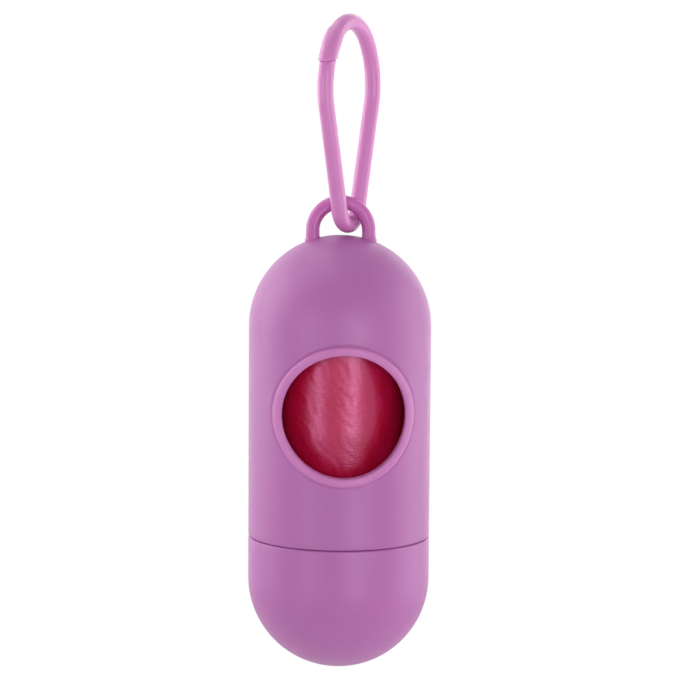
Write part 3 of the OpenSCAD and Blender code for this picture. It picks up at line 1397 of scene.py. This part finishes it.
@dataclass
class BagRoll:
    """Fifteen film bags wound on the core, each a spiral of folded film. Sizes in millimetres."""

    finish: bpy.types.Material
    core_finish: bpy.types.Material
    bags: int = 15
    sharp: float = 60.0
    core_r: float = 6.0
    film_pitch: float = 0.3
    film: float = 0.16
    outer_play: float = 0.03
    inner_play: float = 0.09
    free_end: float = 8.0
    front_steps: tuple[int, int] = (240, 120)
    plain_steps: tuple[int, int] = (72, 2)
    overrun: float = 0.05
    drift: float = 0.02
    seed: int = 40
    soft_relief: float = 0.12
    fine_relief: float = 0.035
    sink: float = 0.16
    creased_turns: float = 1.3

    def __post_init__(self) -> None:
        """Reads where the roll stands from the frame's boxes."""
        low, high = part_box("bag_01")
        self.x = (low.x + high.x) / 2 / MM
        self.y = (low.y + high.y) / 2 / MM
        self.low = low.z / MM
        self.high = high.z / MM
        self.out_r = (high.x - low.x) / 2 / MM

    def radius(self, bag: int) -> float:
        """Outer radius of a bag's turns, the first bag outermost."""
        share = (self.out_r**2 - self.core_r**2) / self.bags
        return math.sqrt(self.out_r**2 - bag * share)

    def make_bag(self, bag: int) -> bpy.types.Object:
        """Builds one bag's turns as a closed spiral sheet.

        Args:
            bag: Number of the bag, 0 for the outermost.

        Returns:
            The bag as an object.
        """
        rng = np.random.default_rng(self.seed + bag)
        outer, inner = self.radius(bag) - self.outer_play, self.radius(bag + 1) + self.inner_play
        turns = max(1.0, (outer - inner) / self.film_pitch)
        outermost = bag == 0
        per_turn, rows = self.front_steps if outermost else self.plain_steps
        count = int(turns * per_turn) + 1
        start = math.radians(self.free_end) if outermost else rng.uniform(0, 2 * math.pi)
        levels = np.linspace(self.low, self.high, rows)
        drift = np.cumsum(rng.normal(0, self.drift, int(turns) + 3))
        points: list[Point] = []
        for side in (0, 1):
            for k, z in enumerate(levels):
                for i in range(count):
                    t = i / (count - 1)
                    theta = start - 2 * math.pi * turns * t
                    r = outer + (inner + self.film - outer) * t - side * self.film
                    shift = float(np.interp(t * turns, range(len(drift)), drift))
                    level = z
                    if k in (0, rows - 1):
                        level += (-1 if k else 1) * (self.overrun + abs(shift))
                    if outermost:
                        r += self.crease(theta, z, t * turns)
                    points.append(
                        (
                            (self.x + r * math.sin(theta)) * MM,
                            (self.y - r * math.cos(theta)) * MM,
                            level * MM,
                        )
                    )
        size = rows * count
        faces = grid_faces(rows, count, False)
        faces += [tuple(size + i for i in f[::-1]) for f in grid_faces(rows, count, False)]
        for i in range(count - 1):
            faces.append((i, size + i, size + i + 1, i + 1))
            top = (rows - 1) * count
            faces.append((top + i, top + i + 1, size + top + i + 1, size + top + i))
        for k in range(rows - 1):
            for c in (0, count - 1):
                a, b = k * count + c, (k + 1) * count + c
                faces.append((a, b, size + b, size + a))
        name = f"film_bag_{bag + 1:02d}"
        obj = add_object(name, points, faces, self.finish, self.sharp)
        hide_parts(f"bag_{bag + 1:02d}")
        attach(obj, Body.ROLL.value)
        return obj

    def crease(self, theta: float, z: float, turn: float) -> float:
        """Relief of the outermost film, in millimetres: soft vertical ridges and fine creases.

        Args:
            theta: Angle round the roll from the window's side.
            z: Level.
            turn: Turns wound in from the free end.

        Returns:
            The height over the plain spiral, at most zero.
        """
        fade = max(0.0, 1 - turn / self.creased_turns)
        soft = math.sin(3 * theta + 0.7) * 0.5 + math.sin(7 * theta + 2.1 + 0.05 * z) * 0.3
        fine = math.sin(34 * theta + 1.7 * z + 2 * math.sin(0.9 * z))
        fine *= math.sin(0.55 * z + 9 * theta)
        return (-self.sink + self.soft_relief * soft + self.fine_relief * fine) * fade

    def make_core(self) -> bpy.types.Object:
        """Gives the cardboard core its finish.

        Returns:
            The core's own object from the frame.
        """
        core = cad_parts["roll_core"]
        core.data.materials.clear()
        core.data.materials.append(self.core_finish)
        return core


# --------------------------------------------------------------------------- the studio


@dataclass
class Studio:
    """Camera at the photograph's angle, soft lamps, white surroundings and a pale floor.

    The camera's distance, height and place are in millimetres, its angles in degrees and its
    focal length and frame in pixels. The rest is in metres.
    """

    distance: float = 615.8
    height: float = 97.4
    pitch: float = 6.73
    azimuth: float = 3.45
    roll: float = 0.4
    focal_px: float = 2823.9
    frame_px: float = 680.0
    middle_z: float = -92.45
    axis_x: float = -1.7
    axis_y: float = -0.3
    sky: float = 0.2
    sensor_mm: float = 36.0
    near: float = 0.01
    far: float = 20.0
    aim: Point = (0.0, 0.0, -0.08)
    floor_z: float = -0.30
    floor_r: float = 0.6

    def make_camera(self) -> None:
        """Sets the camera that the photograph's fit gives."""
        data = bpy.data.cameras.new("camera")
        data.sensor_width = self.sensor_mm
        data.lens = self.focal_px * data.sensor_width / self.frame_px
        data.clip_start = self.near
        data.clip_end = self.far
        camera = bpy.data.objects.new("camera", data)
        bpy.context.collection.objects.link(camera)
        a = math.radians(self.azimuth)
        camera.location = (
            (self.axis_x - self.distance * math.sin(a)) * MM,
            (self.axis_y - self.distance * math.cos(a)) * MM,
            (self.middle_z + self.height) * MM,
        )
        p = math.radians(self.pitch)
        forward = Vector((math.sin(a) * math.cos(p), math.cos(a) * math.cos(p), -math.sin(p)))
        look = forward.to_track_quat("-Z", "Y").to_matrix()
        spin = Matrix.Rotation(math.radians(self.roll), 3, "Z")
        camera.rotation_euler = (look @ spin).to_euler()
        bpy.context.scene.camera = camera

    def lamp(
        self,
        name: str,
        place: Point,
        size: tuple[float, float],
        power: float,
        mirrored: bool = True,
        lights: bool = True,
    ) -> None:
        """Adds a soft rectangular lamp that faces the capsule.

        Args:
            name: The lamp's name.
            place: Where it stands, in metres.
            size: Its width and height, in metres.
            power: Its power in watts.
            mirrored: Whether glossy surfaces show it.
            lights: Whether it lights matt surfaces.
        """
        data = bpy.data.lights.new(name, "AREA")
        data.shape = "RECTANGLE"
        data.size, data.size_y = size
        data.energy = power
        lamp = bpy.data.objects.new(name, data)
        lamp.location = place
        lamp.rotation_euler = (Vector(self.aim) - Vector(place)).to_track_quat("-Z", "Y").to_euler()
        lamp.visible_glossy = mirrored
        lamp.visible_diffuse = lights
        bpy.context.collection.objects.link(lamp)

    def make_lamps(self) -> None:
        """Sets softboxes on each side, behind and above, two strips in front, and two fills."""
        self.lamp("softbox_left", (-0.42, 0.115, 0.06), (0.34, 0.5), 1.55)
        self.lamp("softbox_right", (0.43, 0.055, -0.04), (0.34, 0.5), 1.2)
        self.lamp("rear_left", (-0.26, 0.42, 0.02), (0.3, 0.5), 0.45)
        self.lamp("rear_right", (0.26, 0.42, 0.02), (0.3, 0.5), 0.55)
        self.lamp("softbox_top", (-0.12, 0.05, 0.4), (0.4, 0.3), 0.7)
        self.lamp("strip_left", (-0.352, -0.423, -0.07), (0.12, 0.42), 0.62, lights=False)
        self.lamp("strip_right", (0.175, -0.522, -0.07), (0.17, 0.42), 1.1, lights=False)
        self.lamp("fill", (-0.07, -0.75, 0.05), (0.3, 0.35), 2.55, mirrored=False)
        self.lamp("fill_right", (0.46, -0.4, 0.0), (0.3, 0.4), 0.45, mirrored=False)

    def make_world(self) -> None:
        """Makes the surroundings white to the camera and softly grey as a light."""
        world = bpy.data.worlds.new("studio")
        bpy.context.scene.world = world
        graph = Graph(world, "ShaderNodeOutputWorld")
        soft, white = (
            graph.node("ShaderNodeBackground", feeds={"Color": (1, 1, 1), "Strength": level})
            for level in (self.sky, 1.0)
        )
        graph.surface(
            {0: graph.seen(), 1: soft.outputs[0], 2: white.outputs[0]}, "ShaderNodeMixShader"
        )

    def make_floor(self) -> None:
        """Lays the pale floor under the hanging dispenser."""
        bpy.ops.mesh.primitive_circle_add(
            vertices=96, radius=self.floor_r, fill_type="NGON", location=(0, 0, self.floor_z)
        )
        floor = bpy.context.object
        floor.name = "studio_floor"
        floor.data.materials.append(StudioWhite("studio_white").make())

    def view_settings(self) -> None:
        """Keeps the plain view transform."""
        bpy.context.scene.view_settings.view_transform = "Standard"


def main() -> None:
    """Builds every piece in order."""
    logging.basicConfig(level=logging.INFO)
    studio = Studio()
    studio.make_camera()
    studio.view_settings()
    studio.make_world()
    studio.make_lamps()
    studio.make_floor()

    shell_plastic = MouldedPlastic(
        "orchid_shell_plastic",
        (0.41, 0.127, 0.37),
        (0.385, 0.117, 0.345),
        roughness=0.46,
        # Painted highlight: a paler ring of colour on the bead round the window, for the light it
        # catches.
        rim=PaintedRimHighlight((0.52, 0.17, 0.43), -1.7 * MM, -82.06 * MM, 15.15 * MM),
    ).make()
    cap_plastic = MouldedPlastic(
        "orchid_cap_plastic", (0.42, 0.127, 0.375), (0.39, 0.116, 0.345), roughness=0.45
    ).make()
    # Painted light: the shell's own plastic, coloured lighter and more saturated for light that
    # passes through the thin eye.
    eye_painted_translucence = MouldedPlastic(
        "orchid_eye_painted_translucence", (0.50, 0.125, 0.40), (0.46, 0.11, 0.36), roughness=0.34, glow=0.3
    ).make()
    clip_plastic = MouldedPlastic(
        "rose_clip_plastic",
        (0.62, 0.22, 0.51),
        (0.57, 0.19, 0.46),
        roughness=0.34,
        gloss=0.35,
        glow=0.3,
        ior=1.38,
    ).make()
    # The second crimson is deeper: painted shade in the hollows of the film's broad folds.
    film = WoundFilm("crimson_film", (0.46, 0.004, 0.045), (0.40, 0.001, 0.019)).make()
    card = Cardboard("core_card", (0.50, 0.36, 0.22), (0.36, 0.25, 0.15)).make()

    capsule = Capsule(shell_plastic, cap_plastic, eye_painted_translucence)
    for make in (capsule.make_shell, capsule.make_eye, capsule.make_cap):
        LOG.info("made %s", make().name)
    clip = Clip(clip_plastic)
    for make in (clip.make_hook, clip.make_arm):
        LOG.info("made %s", make().name)
    roll = BagRoll(film, card)
    LOG.info("made %s", roll.make_core().name)
    for bag in range(roll.bags):
        LOG.info("made %s", roll.make_bag(bag).name)


if __name__ == "__main__":
    main()
